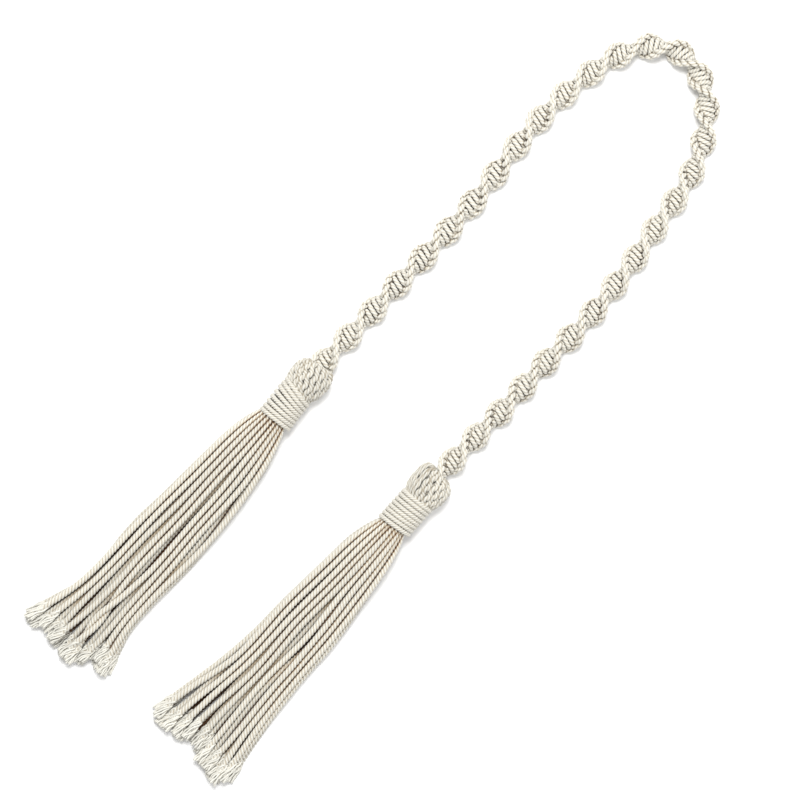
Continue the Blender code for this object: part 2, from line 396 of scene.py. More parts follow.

# Painted shade in a gap, as the share of the cotton's colour that is left: share of the gap's depth,
# colour.
# Between strands that lie loose the painted shade is browner.
OPEN_GAP_SHADES = (
    (0.0, "FFFFFF"),
    (0.35, "DDCFBC"),
    (0.7, "7C573A"),
    (1.0, "301A0B"),
)
CLOSE_GAP_SHADES = (
    (0.0, "FFFFFF"),
    (0.35, "D8D2C8"),
    (0.7, "847B70"),
    (1.0, "2E2822"),
)

# Camera, in metres. It looks straight down and is turned, so that up in the picture leans towards -X.
CAMERA_TARGET = (0.0015, -0.0111)
CAMERA_HEIGHT = 1.5
FIELD = 0.48
SENSOR = 36.0
PICTURE_TURN = math.radians(42)

# Stage, in metres and watts: half width of the board, strength of the white surroundings; for each softbox
# its place to the right, up and above the picture's middle, diameter, power
BOARD_HALF = 3.0
BOARD_COLOUR = "F8F8F8"
SURROUND_STRENGTH = 0.62
SOFTBOXES = (
    ("key softbox", (0.0, 0.52, 1.38), 0.55, 22.0),
    ("fill softbox", (0.7, -0.1, 1.2), 1.2, 4.0),
)


def linear(hex_colour):
    """An sRGB hex colour as a linear colour with full alpha."""
    channels = [int(hex_colour[i : i + 2], 16) / 255 for i in (0, 2, 4)]
    return tuple(c / 12.92 if c <= 0.04045 else ((c + 0.055) / 1.055) ** 2.4 for c in channels) + (1.0,)


class TiebackSizes(bpy.types.PropertyGroup):
    """Sizes of the cords that a user would change."""

    cord_diameter: FloatProperty(
        name="Cord diameter",
        description="Diameter of the laid cotton cord of the sinnet and the tassels",
        default=0.004,
        min=0.002,
        max=0.006,
        subtype="DISTANCE",
        unit="LENGTH",
    )
    cord_lay: FloatProperty(
        name="Cord lay",
        description="Length along the cord in which a ply goes once round it",
        default=0.0074,
        min=0.004,
        max=0.02,
        subtype="DISTANCE",
        unit="LENGTH",
    )
    binding_diameter: FloatProperty(
        name="Binding cord diameter",
        description="Diameter of the thinner cord wound round a tassel's neck",
        default=0.003,
        min=0.0015,
        max=0.004,
        subtype="DISTANCE",
        unit="LENGTH",
    )
    fray_length: FloatProperty(
        name="Fray length",
        description="Length over which a strand's end is teased open into yarns",
        default=0.011,
        min=0.004,
        max=0.03,
        subtype="DISTANCE",
        unit="LENGTH",
    )


class TiebackColours(bpy.types.PropertyGroup):
    """Colours of the cotton that a user would change."""

    cotton: FloatVectorProperty(
        name="Cotton",
        description="Colour of the unbleached cotton cord in linear values",
        default=linear("DAD8CF")[:3],
        min=0.0,
        max=1.0,
        size=3,
        subtype="COLOR",
    )
    binding: FloatVectorProperty(
        name="Binding",
        description="Colour of the binding cord in linear values",
        default=linear("DBD9D0")[:3],
        min=0.0,
        max=1.0,
        size=3,
        subtype="COLOR",
    )


def add_node(tree, kind, settings=None, inputs=None, links=None):
    """A node with its settings, its input values and the sockets that feed it."""
    node = tree.nodes.new("ShaderNode" + kind)
    for name, value in (settings or {}).items():
        setattr(node, name, value)
    for name, value in (inputs or {}).items():
        node.inputs[name].default_value = value
    for name, socket in (links or {}).items():
        tree.links.new(socket, node.inputs[name])
    return node


def read_table(rows, at):
    """Smooth values of a table's other columns at each place in its first column."""
    rows = np.array(rows, dtype=float)
    at = np.clip(np.asarray(at, dtype=float), rows[0, 0], rows[-1, 0])
    steps = np.diff(rows[:, 0])
    slopes = np.diff(rows[:, 1:], axis=0) / steps[:, None]
    ends = np.empty((len(rows), rows.shape[1] - 1))
    ends[0], ends[-1] = slopes[0], slopes[-1]
    before, after = steps[:-1, None], steps[1:, None]
    ends[1:-1] = (slopes[:-1] * after + slopes[1:] * before) / (before + after)
    index = np.clip(np.searchsorted(rows[:, 0], at, side="right") - 1, 0, len(steps) - 1)
    step = steps[index][..., None]
    u = (at - rows[index, 0])[..., None] / step
    start, end = rows[index, 1:], rows[index + 1, 1:]
    bend_start = ends[index] * step - (end - start)
    bend_end = (end - start) - ends[index + 1] * step
    return start + u * (end - start) + u * (1 - u) * ((1 - u) * bend_start + u * bend_end)


def soft_step(value, start=0.0, length=1.0):
    """From 0 to 1 in a soft S over a length."""
    value = np.clip((value - start) / length, 0.0, 1.0)
    return value * value * (3 - 2 * value)


def lengths_along(path):
    """Distance along a path at each of its points."""
    return np.concatenate([[0.0], np.cumsum(np.linalg.norm(np.diff(path, axis=0), axis=1))])


def even_path(path, spacing):
    """The path again with points evenly apart."""
    along = lengths_along(path)
    count = max(3, int(round(along[-1] / spacing)) + 1)
    at = np.linspace(0.0, along[-1], count)
    return np.column_stack([np.interp(at, along, path[:, i]) for i in range(3)])


def frames_along(path):
    """Two cross directions at each point, which turn as little as they can along the path."""
    run = np.gradient(path, axis=0)
    run /= np.linalg.norm(run, axis=1)[:, None]
    steep = abs(run[0, 2]) > 0.8
    normal = np.array((1.0, 0.0, 0.0)) if steep else np.array((0.0, 0.0, 1.0))
    normals = np.empty_like(path)
    for i in range(len(path)):
        normal = normal - run[i] * normal.dot(run[i])
        normal /= math.sqrt(normal.dot(normal))
        normals[i] = normal
    return normals, np.cross(run, normals)


def cord_rings(path, radii, wind, profile):
    """A ring of points in the shape of the cord's cross section at each point of its path."""
    normals, crosses = frames_along(path)
    spread = 2 * math.pi * np.arange(len(profile)) / len(profile)
    angles = wind[:, None] + spread[None, :]
    reach = radii[:, None] * np.array(profile)[None, :]
    rings = (
        path[:, None, :]
        + (reach * np.cos(angles))[..., None] * normals[:, None, :]
        + (reach * np.sin(angles))[..., None] * crosses[:, None, :]
    )
    rings[..., 2] = np.maximum(rings[..., 2], FLOOR_CLEARANCE)
    return rings


class CordMesh:
    """Cords collected into one mesh, each a tube with its own cross section."""

    def __init__(self, reach=0.8):
        """Start with no cords; painted gap shade begins where the next cord is nearer than the reach."""
        self.points, self.faces, self.cords = [], [], []
        self.grooves, self.tones, self.shelters, self.gap_shade_strengths = [], [], [], []
        self.count = 0
        self.reach = reach

    def add(
        self, path, radius, lay, spacing, profile, tone,
        phase=0.0, shelter=0.0, gap_shade_strength=1.0, width=1.0, from_above=False,
    ):
        """One cord along a path; its plies wind left-handed, once in each lay.

        Painted shade, strength of the painted shade in its gaps and width are single values or have one for
        each point of the path. Painted shade from above darkens only the upper side, and any other painted
        shade darkens the cord all round.
        """
        free = np.asarray(path, dtype=float)
        path = even_path(free, spacing)
        along = lengths_along(path)
        shelter, gap_shade_strength, width = (
            np.interp(along, lengths_along(free), np.broadcast_to(values, len(free)))
            for values in (shelter, gap_shade_strength, width)
        )
        wind = phase - 2 * math.pi * along / lay if lay else np.full(len(path), phase)
        rings = cord_rings(path, radius * width, wind, profile)
        count, sides = rings.shape[:2]
        grid = self.count + np.arange(count * sides).reshape(count, sides)
        ahead = np.roll(grid, -1, axis=1)
        quads = np.stack([grid[:-1], ahead[:-1], ahead[1:], grid[1:]], axis=-1).reshape(-1, 4)
        self.faces.append((quads, grid[0][::-1], grid[-1]))
        self.points.append(rings.reshape(-1, 3))
        self.count += count * sides
        deepest = 1.0 - min(profile)
        grooves = (1.0 - np.array(profile)) / deepest if deepest else np.zeros(sides)
        self.grooves.append(np.tile(grooves, count))
        self.tones.append(np.full(count * sides, tone))
        if from_above:
            facing = soft_step(0.5 + (rings[..., 2] - path[:, None, 2]) / radius)
            shelter = shelter[:, None] * facing
        else:
            shelter = np.repeat(shelter, sides)
        self.shelters.append(shelter.ravel())
        self.gap_shade_strengths.append(np.repeat(gap_shade_strength, sides))
        self.cords.append((along, wind, radius, sides, path))

    def face_lists(self):
        """The faces in order: the quads of each cord, then its two end caps."""
        faces = []
        for quads, start, end in self.faces:
            faces += quads.tolist() + [start.tolist(), end.tolist()]
        return faces

    def fibre_places(self):
        """For each face corner, metres along the cord and round it, as its fibres run."""
        places = []
        for along, wind, radius, sides, _ in self.cords:
            low, high = np.arange(len(along) - 1), np.arange(1, len(along))
            side = np.arange(sides)
            corners = []
            for ring, step in ((low, 0), (low, 1), (high, 1), (high, 0)):
                turn = wind[ring][:, None] + 2 * math.pi * (side + step)[None, :] / sides
                length = np.repeat(along[ring][:, None], sides, axis=1)
                corners.append(np.stack([length, turn * radius], axis=-1))
            places.append(np.stack(corners, axis=2).reshape(-1, 2))
            for ring, order in ((0, side[::-1]), (-1, side)):
                turn = wind[ring] + 2 * math.pi * order / sides
                cap = np.column_stack([np.cos(turn), np.sin(turn)]) * CAP_RADIUS
                places.append(cap + (along[ring], 0.0))
        return np.concatenate(places) * MM

    def strip_places(self):
        """For each face corner, its place when the cords are unrolled into strips on one square."""
        ends = [along[-1] for along, *_ in self.cords]
        round_length = 2 * math.pi * self.cords[0][2] * STRIP_ALLOWANCE
        strip = min(math.sqrt(sum(ends) * round_length), max(ends) * 1.001)
        rows = [max(1, math.ceil(end / strip)) for end in ends]
        total = sum(rows) + 1
        places = []
        row_start = 0
        for (along, _, _, sides, _), own_rows in zip(self.cords, rows):
            steps = len(along) - 1
            per_row = math.ceil(steps / own_rows)
            index = np.arange(steps)
            row = row_start + index // per_row
            left = (index % per_row) / per_row
            side = np.arange(sides)
            corners = []
            for ahead, step in ((0, 0), (0, 1), (1, 1), (1, 0)):
                u = np.repeat((left + ahead / per_row)[:, None], sides, axis=1)
                across = (side + step)[None, :] / sides
                v = (row[:, None] + STRIP_MARGIN + (1 - 2 * STRIP_MARGIN) * across) / total
                corners.append(np.stack([SQUARE_MARGIN + (1 - 2 * SQUARE_MARGIN) * u, v], axis=-1))
            places.append(np.stack(corners, axis=2).reshape(-1, 2))
            turn = 2 * math.pi * side / sides
            cap = np.column_stack([np.cos(turn), np.sin(turn)]) * CAP_RADIUS / total
            cap += (0.5 / total, (total - 0.5) / total)
            places.append(cap[::-1])
            places.append(cap)
            row_start += own_rows
        return np.concatenate(places)

    def crevices(self):
        """For each point, how near it lies to the next cord, from 0 to 1 where they touch."""
        most = max(radius for _, _, radius, _, _ in self.cords)
        tree = KDTree(sum(len(along) for along, *_ in self.cords))
        owners = []
        for number, (along, _, radius, _, path) in enumerate(self.cords):
            for place, point in zip(along, path):
                tree.insert(point, len(owners))
                owners.append((number, place, radius))
        tree.balance()
        values = []
        for number, (rings, (along, _, radius, sides, _)) in enumerate(zip(self.points, self.cords)):
            for index, point in enumerate(rings):
                place = along[index // sides]
                near = self.reach
                for _, other, distance in tree.find_range(point, most + self.reach):
                    owner, other_place, other_radius = owners[other]
                    if owner != number or abs(other_place - place) > OWN_REACH * radius:
                        near = min(near, distance - other_radius)
                values.append(1.0 - max(near, 0.0) / self.reach)
        return np.array(values)

    def build(self, name, material):
        """The mesh object, placed in the part's frame."""
        points = (np.concatenate(self.points) + np.array(ORIGIN)) * MM
        mesh = bpy.data.meshes.new(name)
        mesh.from_pydata(points.tolist(), [], self.face_lists())
        # Painted shade: points near another cord, and strands under their neighbours, get a darker colour
        gap_shading = self.crevices() * np.concatenate(self.gap_shade_strengths)
        attributes = {
            "ply_groove": np.concatenate(self.grooves),
            "crevice": np.maximum(gap_shading, np.concatenate(self.shelters)),
            "cord_tone": np.concatenate(self.tones),
        }
        for title, values in attributes.items():
            attribute = mesh.attributes.new(title, "FLOAT", "POINT")
            attribute.data.foreach_set("value", values.astype(np.float32))
        for title, places in (("Fibre", self.fibre_places()), ("OFBake", self.strip_places())):
            layer = mesh.uv_layers.new(name=title)
            layer.data.foreach_set("uv", places.astype(np.float32).ravel())
        mesh.materials.append(material)
        mesh.shade_smooth()
        piece = bpy.data.objects.new(name, mesh)
        bpy.context.collection.objects.link(piece)
        return piece


def keep_piece(piece, node):
    """Enter a piece in the frame as the one that stands for a CAD node."""
    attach(piece, "root")
    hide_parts(node)


def new_material(name, surface):
    """A material with its node tree and its shader, on which the surface's values are set."""
    material = bpy.data.materials.new(name)
    material.use_nodes = True
    shader = material.node_tree.nodes["Principled BSDF"]
    for socket, value in surface.items():
        shader.inputs[socket].default_value = value
    return material, material.node_tree, shader


def fill_ramp(ramp, stops):
    """Put the stops of a table on a colour ramp."""
    while len(ramp.elements) < len(stops):
        ramp.elements.new(0.5)
    for element, (place, hex_colour) in zip(ramp.elements, stops):
        element.position = place
        element.color = linear(hex_colour)


def yarn_noise(tree):
    """Noise drawn out along the cord, as the spun yarns of its plies lie."""
    fibre_places = add_node(tree, "UVMap", {"uv_map": "Fibre"})
    stretched = add_node(
        tree,
        "Mapping",
        inputs={"Scale": (1 / YARN_RUN, 1 / YARN_SPACING, 1.0)},
        links={"Vector": fibre_places.outputs["UV"]},
    )
    return add_node(
        tree,
        "TexNoise",
        inputs={"Scale": 1.0, "Detail": 3.0, "Roughness": 0.6},
        links={"Vector": stretched.outputs["Vector"]},
    )


def ply_colour_and_shade(tree, colour, ply_shade_share):
    """The cotton's colour, with painted shade, darker and warmer, in the grooves between plies."""
    groove = add_node(tree, "Attribute", {"attribute_name": "ply_groove"})
    groove_shade_share = add_node(
        tree, "Math", {"operation": "MULTIPLY"}, {1: ply_shade_share}, {0: groove.outputs["Fac"]}
    )
    return add_node(
        tree,
        "Mix",
        {"data_type": "RGBA"},
        inputs={"A": (*colour, 1.0), "B": linear(GROOVE_SHADE_COLOUR)},
        links={"Factor": groove_shade_share.outputs["Value"]},
    )


def gap_shade_colour(tree, gap_shade_depth, gap_shade_colours):
    """Painted shade in the gaps between cords, from a ramp by how near the next cord is."""
    crevice = add_node(tree, "Attribute", {"attribute_name": "crevice"})
    depth = add_node(
        tree,
        "MapRange",
        inputs={"From Min": 0.3, "From Max": 0.95, "To Min": 0.0, "To Max": gap_shade_depth},
        links={"Value": crevice.outputs["Fac"]},
    )
    gap_shade_ramp = add_node(tree, "ValToRGB", links={"Fac": depth.outputs["Result"]})
    fill_ramp(gap_shade_ramp.color_ramp, gap_shade_colours)
    return gap_shade_ramp


def laid_cotton(name, colour, gap_shade_depth, gap_shade_colours, ply_shade_share=PLY_SHADE_SHARE):
    """Unbleached cotton cord, spun and laid in three plies.

    It has no gloss: short fibres scatter the light, and a faint bloom of loose fibres brightens the edges.
    The ply grooves and the gaps between cords get painted shade, darker and warmer, in the colour.
    """
    material, tree, shader = new_material(name, COTTON_SURFACE)
    yarns = yarn_noise(tree)
    # Random tone, and painted shade as a darker tone on the hidden and lower cords
    tone = add_node(tree, "Attribute", {"attribute_name": "cord_tone"})
    shade = add_node(
        tree,
        "MapRange",
        inputs={"From Min": 0.3, "From Max": 0.7, "To Min": 0.86, "To Max": 1.04},
        links={"Value": yarns.outputs["Fac"]},
    )
    toned = add_node(
        tree, "Math", {"operation": "MULTIPLY"}, links={0: shade.outputs["Result"], 1: tone.outputs["Fac"]}
    )
    # Painted shade: the cotton's colour is multiplied by the ramp of painted gap shade
    gap_shaded = add_node(
        tree,
        "Mix",
        {"data_type": "RGBA", "blend_type": "MULTIPLY"},
        inputs={"Factor": 1.0},
        links={
            "A": ply_colour_and_shade(tree, colour, ply_shade_share).outputs["Result"],
            "B": gap_shade_colour(tree, gap_shade_depth, gap_shade_colours).outputs["Color"],
        },
    )
    shaded = add_node(
        tree,
        "VectorMath",
        {"operation": "SCALE"},
        links={"Vector": gap_shaded.outputs["Result"], "Scale": toned.outputs["Value"]},
    )
    bump = add_node(
        tree, "Bump", None, {"Strength": 0.5, "Distance": 0.0003}, {"Height": yarns.outputs["Fac"]}
    )
    tree.links.new(shaded.outputs["Vector"], shader.inputs["Base Color"])
    tree.links.new(bump.outputs["Normal"], shader.inputs["Normal"])
    return material


def cord_facts(context):
    """Diameter and lay of the cord in millimetres, and the cotton's colour."""
    sizes = context.scene.tieback_sizes
    return sizes.cord_diameter / MM, sizes.cord_lay / MM, context.scene.tieback_colours.cotton


def sinnet_points(knots, across, over):
    """Points beside the sinnet's axis, in the turned frame of the spiral."""
    route = np.array(ROUTE)
    route = np.column_stack([lengths_along(route), route])
    half_turns = np.asarray(knots) / KNOTS_PER_HALF_TURN
    lobes = np.array(LOBES)
    distance = read_table(lobes, half_turns)[:, 0]
    extra = np.minimum(half_turns - lobes[0, 0], 0) + np.maximum(half_turns - lobes[-1, 0], 0)
    distance = distance + LOBE_LENGTH * extra
    centre = read_table(route, distance)
    past_end = np.minimum(distance, 0.0) - np.maximum(distance - route[-1, 0], 0.0)
    centre[:, 1] += past_end
    inside = np.clip(distance, RUN_REACH, route[-1, 0] - RUN_REACH)
    run = read_table(route, inside + RUN_REACH) - read_table(route, inside - RUN_REACH)
    run = run[:, :2] / np.linalg.norm(run[:, :2], axis=1)[:, None]
    turn = math.pi * half_turns
    lateral = across * np.cos(turn) - over * np.sin(turn)
    height = across * np.sin(turn) + over * np.cos(turn)
    centre[:, 0] += run[:, 1] * lateral
    centre[:, 1] -= run[:, 0] * lateral
    centre[:, 2] += height
    return centre


def working_cord(first_knot, last_knot, start_side, rng):
    """Path of a working cord, which bars one face, then the other, and how far out its points lie."""
    knots, across, over = [], [], []
    for knot in range(first_knot, last_knot + 1):
        side = 1.0 if (knot + start_side) % 2 else -1.0
        shift = rng.normal(0.0, KNOT_JITTER, (len(HALF_KNOT), 3))
        for (place, lateral, height), move in zip(HALF_KNOT, shift):
            knots.append(knot + place + move[0] * JITTER_ALONG)
            across.append(side * lateral + move[1])
            over.append(side * height + move[2])
    table = np.column_stack([np.arange(len(knots)), knots, across, over])
    at = np.linspace(0, len(knots) - 1, (len(knots) - 1) * POINTS_PER_PLACE + 1)
    values = read_table(table, at)
    outward = soft_step(np.abs(values[:, 1]), *RIDGE_STEP)
    return sinnet_points(-values[:, 0], values[:, 1], values[:, 2]), outward


class TIEBACK_OT_knot_sinnet(bpy.types.Operator):
    """Knot the spiral sinnet of two working cords round two filler cords."""

    bl_idname = "tieback.knot_sinnet"
    bl_label = "Knot Sinnet"

    def execute(self, context):
        diameter, lay, colour = cord_facts(context)
        radius = KNOTTED_SHARE * diameter
        rng = np.random.default_rng(SEEDS["sinnet"])
        cotton = laid_cotton("knotted cotton cord", colour, GAP_SHADE_DEPTH["knot"], CLOSE_GAP_SHADES)
        last = int(LOBES[-1][0] * KNOTS_PER_HALF_TURN)
        first = int(LOBES[0][0] * KNOTS_PER_HALF_TURN)
        third = (last - first) // 3
        sections = (
            ("sinnet_left_arm", first - 1, first + third),
            ("sinnet_bend", first + third + 1, last - third),
            ("sinnet_right_arm", last - third + 1, last + 1),
        )
        for name, start, end in sections:
            mesh = CordMesh()
            for side in (0, 1):
                path, outward = working_cord(-end, -start, side, rng)
                # The loops of a ridge are pulled flat against each other; they get less painted gap shade
                # and less width, so that they look smooth
                gap_shading = 1 - RIDGE_SHADE_LOSS * outward
                width = 1 - RIDGE_THINNING * outward
                mesh.add(path, radius, lay, RINGS["knot"], TIGHT_PROFILE, 1.0, side, 0.0, gap_shading, width)
            knots = np.arange(start - FILLER_OVERHANG, end + FILLER_OVERHANG, FILLER_STEP)
            for offset in (-FILLER_OFFSET, FILLER_OFFSET):
                path = sinnet_points(knots, np.full(len(knots), offset), np.zeros(len(knots)))
                step = RINGS["filler"]
                # Painted shade: the filler cords inside the sinnet get a darker tone and shade all round
                mesh.add(path, radius, lay, step, TIGHT_PROFILE, FILLER_SHADED_TONE, shelter=FILLER_PAINTED_SHADE)
            keep_piece(mesh.build(name, cotton), "sinnet")
        return {"FINISHED"}


def fold_path(axis_x, head_length, angle, skew, lift, depth, slant, sway=0.0, phase=0.0):
    """A cord from inside the binding, up the head and over its shoulder into the hole on top."""
    rows = np.array(HEAD_FOLD)
    share = np.linspace(0, len(rows) - 1, FOLD_POINTS)
    values = read_table(np.column_stack([np.arange(len(rows)), rows]), share)
    middle = np.sin(np.pi * np.clip(share / (len(rows) - 2), 0, 1))
    wave = 2 * np.pi * values[:, 1] * head_length / SWAY_PERIOD + phase
    radius = values[:, 0] * depth + (lift + SWAY_LIFT * sway * np.cos(wave)) * middle
    radius = np.minimum(radius, MOST_HEAD_RADIUS)
    turn = angle + skew * (1 - values[:, 1]) + sway / SWAY_RADIUS * np.sin(wave)
    top = slant * np.cos(turn) * (1 - np.clip(values[:, 1], 0, 1))
    y = -GAP - values[:, 1] * head_length + top
    x = axis_x + radius * np.cos(turn)
    z = np.maximum(AXIS_HEIGHT + radius * np.sin(turn), LOWEST_HEAD_CORD)
    return np.column_stack([x, y, z])


def head_cords(side, rng):
    """Angle, turn, lift, sway, phase, thickness and lay of every cord that shows on a head."""
    most_angle, most_turn, most_lift = HEAD_JITTER
    cords = []
    for first, step, count, skew, lift, sway, size, lay in HEAD_GROUPS[side]:
        for i in range(count):
            angle = math.radians(first + step * i) + rng.uniform(-most_angle, most_angle)
            turn = math.radians(skew) + rng.uniform(-most_turn, most_turn)
            rise = lift + rng.uniform(-most_lift, most_lift)
            cords.append((angle, turn, rise, sway, math.pi * i, size, lay))
    return cords


class TIEBACK_OT_fold_heads(bpy.types.Operator):
    """Fold the cords of each tassel over the sinnet's end."""

    bl_idname = "tieback.fold_heads"
    bl_label = "Fold Heads"

    def execute(self, context):
        diameter, lay, colour = cord_facts(context)
        radius = FOLDED_SHARE * diameter
        rng = np.random.default_rng(SEEDS["heads"])
        for side, axis_x, sleeve_top, *_ in TASSELS:
            # The head ends where the binding starts, which rises above the CAD sleeve
            head_length = sleeve_top - BINDING_LEAN[side][0]
            cotton = laid_cotton("folded cotton cord " + side, colour, GAP_SHADE_DEPTH["head"], CLOSE_GAP_SHADES)
            mesh = CordMesh()
            for i in range(INNER_CORDS):
                angle = 2 * math.pi * (i + 0.5) / INNER_CORDS
                path = fold_path(axis_x, head_length, angle, INNER_TURN, 0.0, INNER_SHARE, 0.0)
                # Painted shade: the inner cords seen in the head's gaps get a darker tone
                mesh.add(path, radius, lay, RINGS["inner"], LAID_PROFILE, INNER_SHADED_TONE)
            slant = HEAD_SLANT[side]
            for angle, turn, lift, sway, phase, size, share in head_cords(side, rng):
                path = fold_path(axis_x, head_length, angle, turn, lift, 1.0, slant, sway, phase)
                tone = rng.uniform(*HEAD_TONES)
                start = rng.uniform(0, MOST_PHASE)
                mesh.add(path, radius * size, lay * share, RINGS["head"], LAID_PROFILE, tone, start)
            keep_piece(mesh.build("head_" + side, cotton), "tassel_" + side)
        return {"FINISHED"}


def binding_path(side, axis_x, start, length, turns, rng):
    """A helix round the neck, whose turns are a little uneven and fan out across it."""
    turn = np.linspace(0, turns, int(turns * POINTS_PER_TURN))
    angle = math.pi - 2 * math.pi * turn
    waves = rng.uniform(-BINDING_JITTER, BINDING_JITTER, 2 * int(turns) + 3)
    sway = np.interp(2 * turn, np.arange(len(waves)), waves)
    share = soft_step(turn / turns)
    first_rise, last_rise, first_slant, last_slant, shift = BINDING_LEAN[side]
    rise = first_rise + (last_rise - first_rise) * turn / turns
    slant = first_slant + (last_slant - first_slant) * share
    x = axis_x + shift * share**2 + BINDING_RADIUS * np.cos(angle)
    y = start + rise - length * turn / turns - slant * np.cos(angle) + sway
    z = AXIS_HEIGHT + BINDING_RADIUS * np.sin(angle)
    return np.column_stack([x, y, z])


class TIEBACK_OT_wind_bindings(bpy.types.Operator):
    """Wind the thin cord round the neck of each tassel."""

    bl_idname = "tieback.wind_bindings"
    bl_label = "Wind Bindings"

    def execute(self, context):
        sizes = context.scene.tieback_sizes
        radius = sizes.binding_diameter / 2 / MM
        lay = BINDING_LAY * sizes.cord_lay / MM
        colour = context.scene.tieback_colours.binding
        rng = np.random.default_rng(SEEDS["bindings"])
        for side, axis_x, head_length, wrap_length, turns, *_ in TASSELS:
            cotton = laid_cotton("wound cotton cord " + side, colour, GAP_SHADE_DEPTH["binding"], CLOSE_GAP_SHADES)
            mesh = CordMesh()
            start = -GAP - head_length - radius
            path = binding_path(side, axis_x, start, wrap_length - 2 * radius, turns, rng)
            mesh.add(path, radius, lay, RINGS["binding"], LAID_PROFILE, BINDING_TONE)
            keep_piece(mesh.build("binding_" + side, cotton), "wrap_" + side)
        return {"FINISHED"}


def cell_share(layer, column):
    """Place of a strand's cell across its layer, from -1 to 1."""
    return (2 * column + 1) / LAYERS[layer][0] - 1


def layer_height(place, section, level):
    """Height of the line at a share level of the way up the skirt, at a lateral place."""
    base, top, roundness = section[:, 2], section[:, 3], section[:, 4]
    thickness = top - base
    drop = thickness / 2 * (1 - np.sqrt(1 - (EDGE_ROUND * place) ** 2))
    low = np.maximum(base + roundness * drop, 0.0)
    high = top - (MOUND + (1 - MOUND) * roundness) * drop
    return low + level * (high - low)


def root_place(layer, column):
    """Place of a strand inside the binding: the outer layers on its two arcs, the middle one between."""
    share = cell_share(layer, column)
    if 0 < layer < len(LAYERS) - 1:
        return ROOT_CORE * share, AXIS_HEIGHT + (ROOT_STAGGER if column % 2 else -ROOT_STAGGER)
    angle = ROOT_SPREAD * share
    side = 1.0 if layer else -1.0
    return ROOT_RADIUS * math.sin(angle), AXIS_HEIGHT + side * ROOT_RADIUS * math.cos(angle)


def settle_strands(rest, reach, half_widths):
    """Push strands apart where they overlap at any station, and keep them smooth along their length."""
    places = rest.copy()
    edges = (-half_widths[:, :1] + reach[:, None], half_widths[:, 1:] - reach[:, None])
    for _ in range(SETTLE_PASSES):
        gap = places[:, :, None, :] - places[:, None, :, :]
        distance = np.sqrt((gap**2).sum(axis=-1)) + 1e-6
        overlap = np.maximum(2 * reach[:, None, None] - distance, 0.0)
        push = (gap / distance[..., None] * overlap[..., None]).sum(axis=2) * PUSH
        places = places + np.clip(push, -MOST_PUSH, MOST_PUSH) + PULL_BACK * (rest - places)
        beside = places[:-2] + places[2:]
        places[1:-1] = (1 - SMOOTHING) * places[1:-1] + SMOOTHING / 2 * beside
        places[..., 0] = np.clip(places[..., 0], *edges)
        places[..., 1] = np.maximum(places[..., 1], reach[:, None])
        places[:2] = rest[:2]
    return places


def strand_radius(distance):
    """Radius of a strand, which the binding squeezes."""
    return TIGHT_STRAND + (FULL_STRAND - TIGHT_STRAND) * soft_step(distance, *SWELL_STEP)


def strand_painted_shade(places, reach, half_widths):
    """Painted shade on each strand at each station, from 0 to 1, by how far it lies under its neighbours.

    The strands at a tassel's two edges get none.
    """
    lateral = places[..., 0]
    inside = np.minimum(half_widths[:, 1:] - lateral, half_widths[:, :1] + lateral)
    inside = soft_step(inside / reach[:, None], *EDGE_STEP)
    gap = places[:, None, :, :] - places[:, :, None, :]
    beside = 1 - np.abs(gap[..., 0]) / (SHADE_BESIDE * reach[:, None, None])
    above = gap[..., 1] / (SHADE_ABOVE * reach[:, None, None])
    cover = (np.clip(beside, 0, 1) * np.clip(above, 0, 1)).sum(axis=2)
    return np.clip(cover - FREE_COVER, 0, MOST_SHADE) * inside


def free_strand(layer, column, distance, section, rng):
    """Where a strand would lie at each station if no other pushed it: across and height."""
    # Where the skirt is flat, its upper layers are drawn in
    place = cell_share(layer, column) * (1 - (1 - LAYERS[layer][1]) * (1 - section[:, 4]))
    waves = rng.uniform(-1, 1, SWAY_PLACES)
    knots = np.linspace(0, distance[-1], SWAY_PLACES)
    sway = np.interp(distance, knots, waves) * soft_step(distance, *SWAY_STEP)
    place = place + sway * STRAND_SWAY / LAYERS[layer][0]
    x = place * np.where(place < 0, section[:, 0], section[:, 1])
    z = layer_height(np.clip(place, -1, 1), section, (layer + 0.5) / len(LAYERS))
    root_x, root_z = root_place(layer, column)
    x = root_x + (x - root_x) * soft_step(distance, *SPLAY_STEP)
    z = root_z + (z - root_z) * soft_step(distance, *FAN_STEP)
    return np.column_stack([x, z])


def strand_paths(axis_x, wrap_end, skirt, ends, rng):
    """The free path of every strand in a tassel, with its distances, length, layer and painted shade."""
    distance = np.arange(-ROOT_DEPTH, LONGEST_STRAND + STATION_STEP, STATION_STEP)
    section = read_table(skirt, distance)
    reach = strand_radius(distance)
    rest = []
    facts = []
    for layer, (count, share) in enumerate(LAYERS):
        for column in range(count):
            rest.append(free_strand(layer, column, distance, section, rng))
            middle = cell_share(layer, column) * share
            length = read_table(ends, [middle])[0, 0] + rng.uniform(*END_JITTER)
            facts.append((length, layer))
    places = settle_strands(np.stack(rest, axis=1), reach, section[:, :2])
    # Painted shade under neighbours, which grows below the binding
    shelter = strand_painted_shade(places, reach, section[:, :2]) * soft_step(distance[:, None], *SHADE_STEP)
    paths = []
    for i, (length, layer) in enumerate(facts):
        path = np.column_stack([axis_x + places[:, i, 0], wrap_end - distance, places[:, i, 1]])
        droop = 1 - END_DROOP * soft_step(distance, length - DROOP_LENGTH, DROOP_LENGTH)
        path[:, 2] = np.maximum(path[:, 2] * droop, LOWEST_STRAND)
        paths.append((path, distance, length, layer, shelter[:, i]))
    return paths


def fine_path(path, distance, start, end, step):
    """A strand's path read smoothly between two distances below the binding."""
    at = np.linspace(start, end, max(3, int((end - start) / step)))
    return read_table(np.column_stack([distance, path]), at)


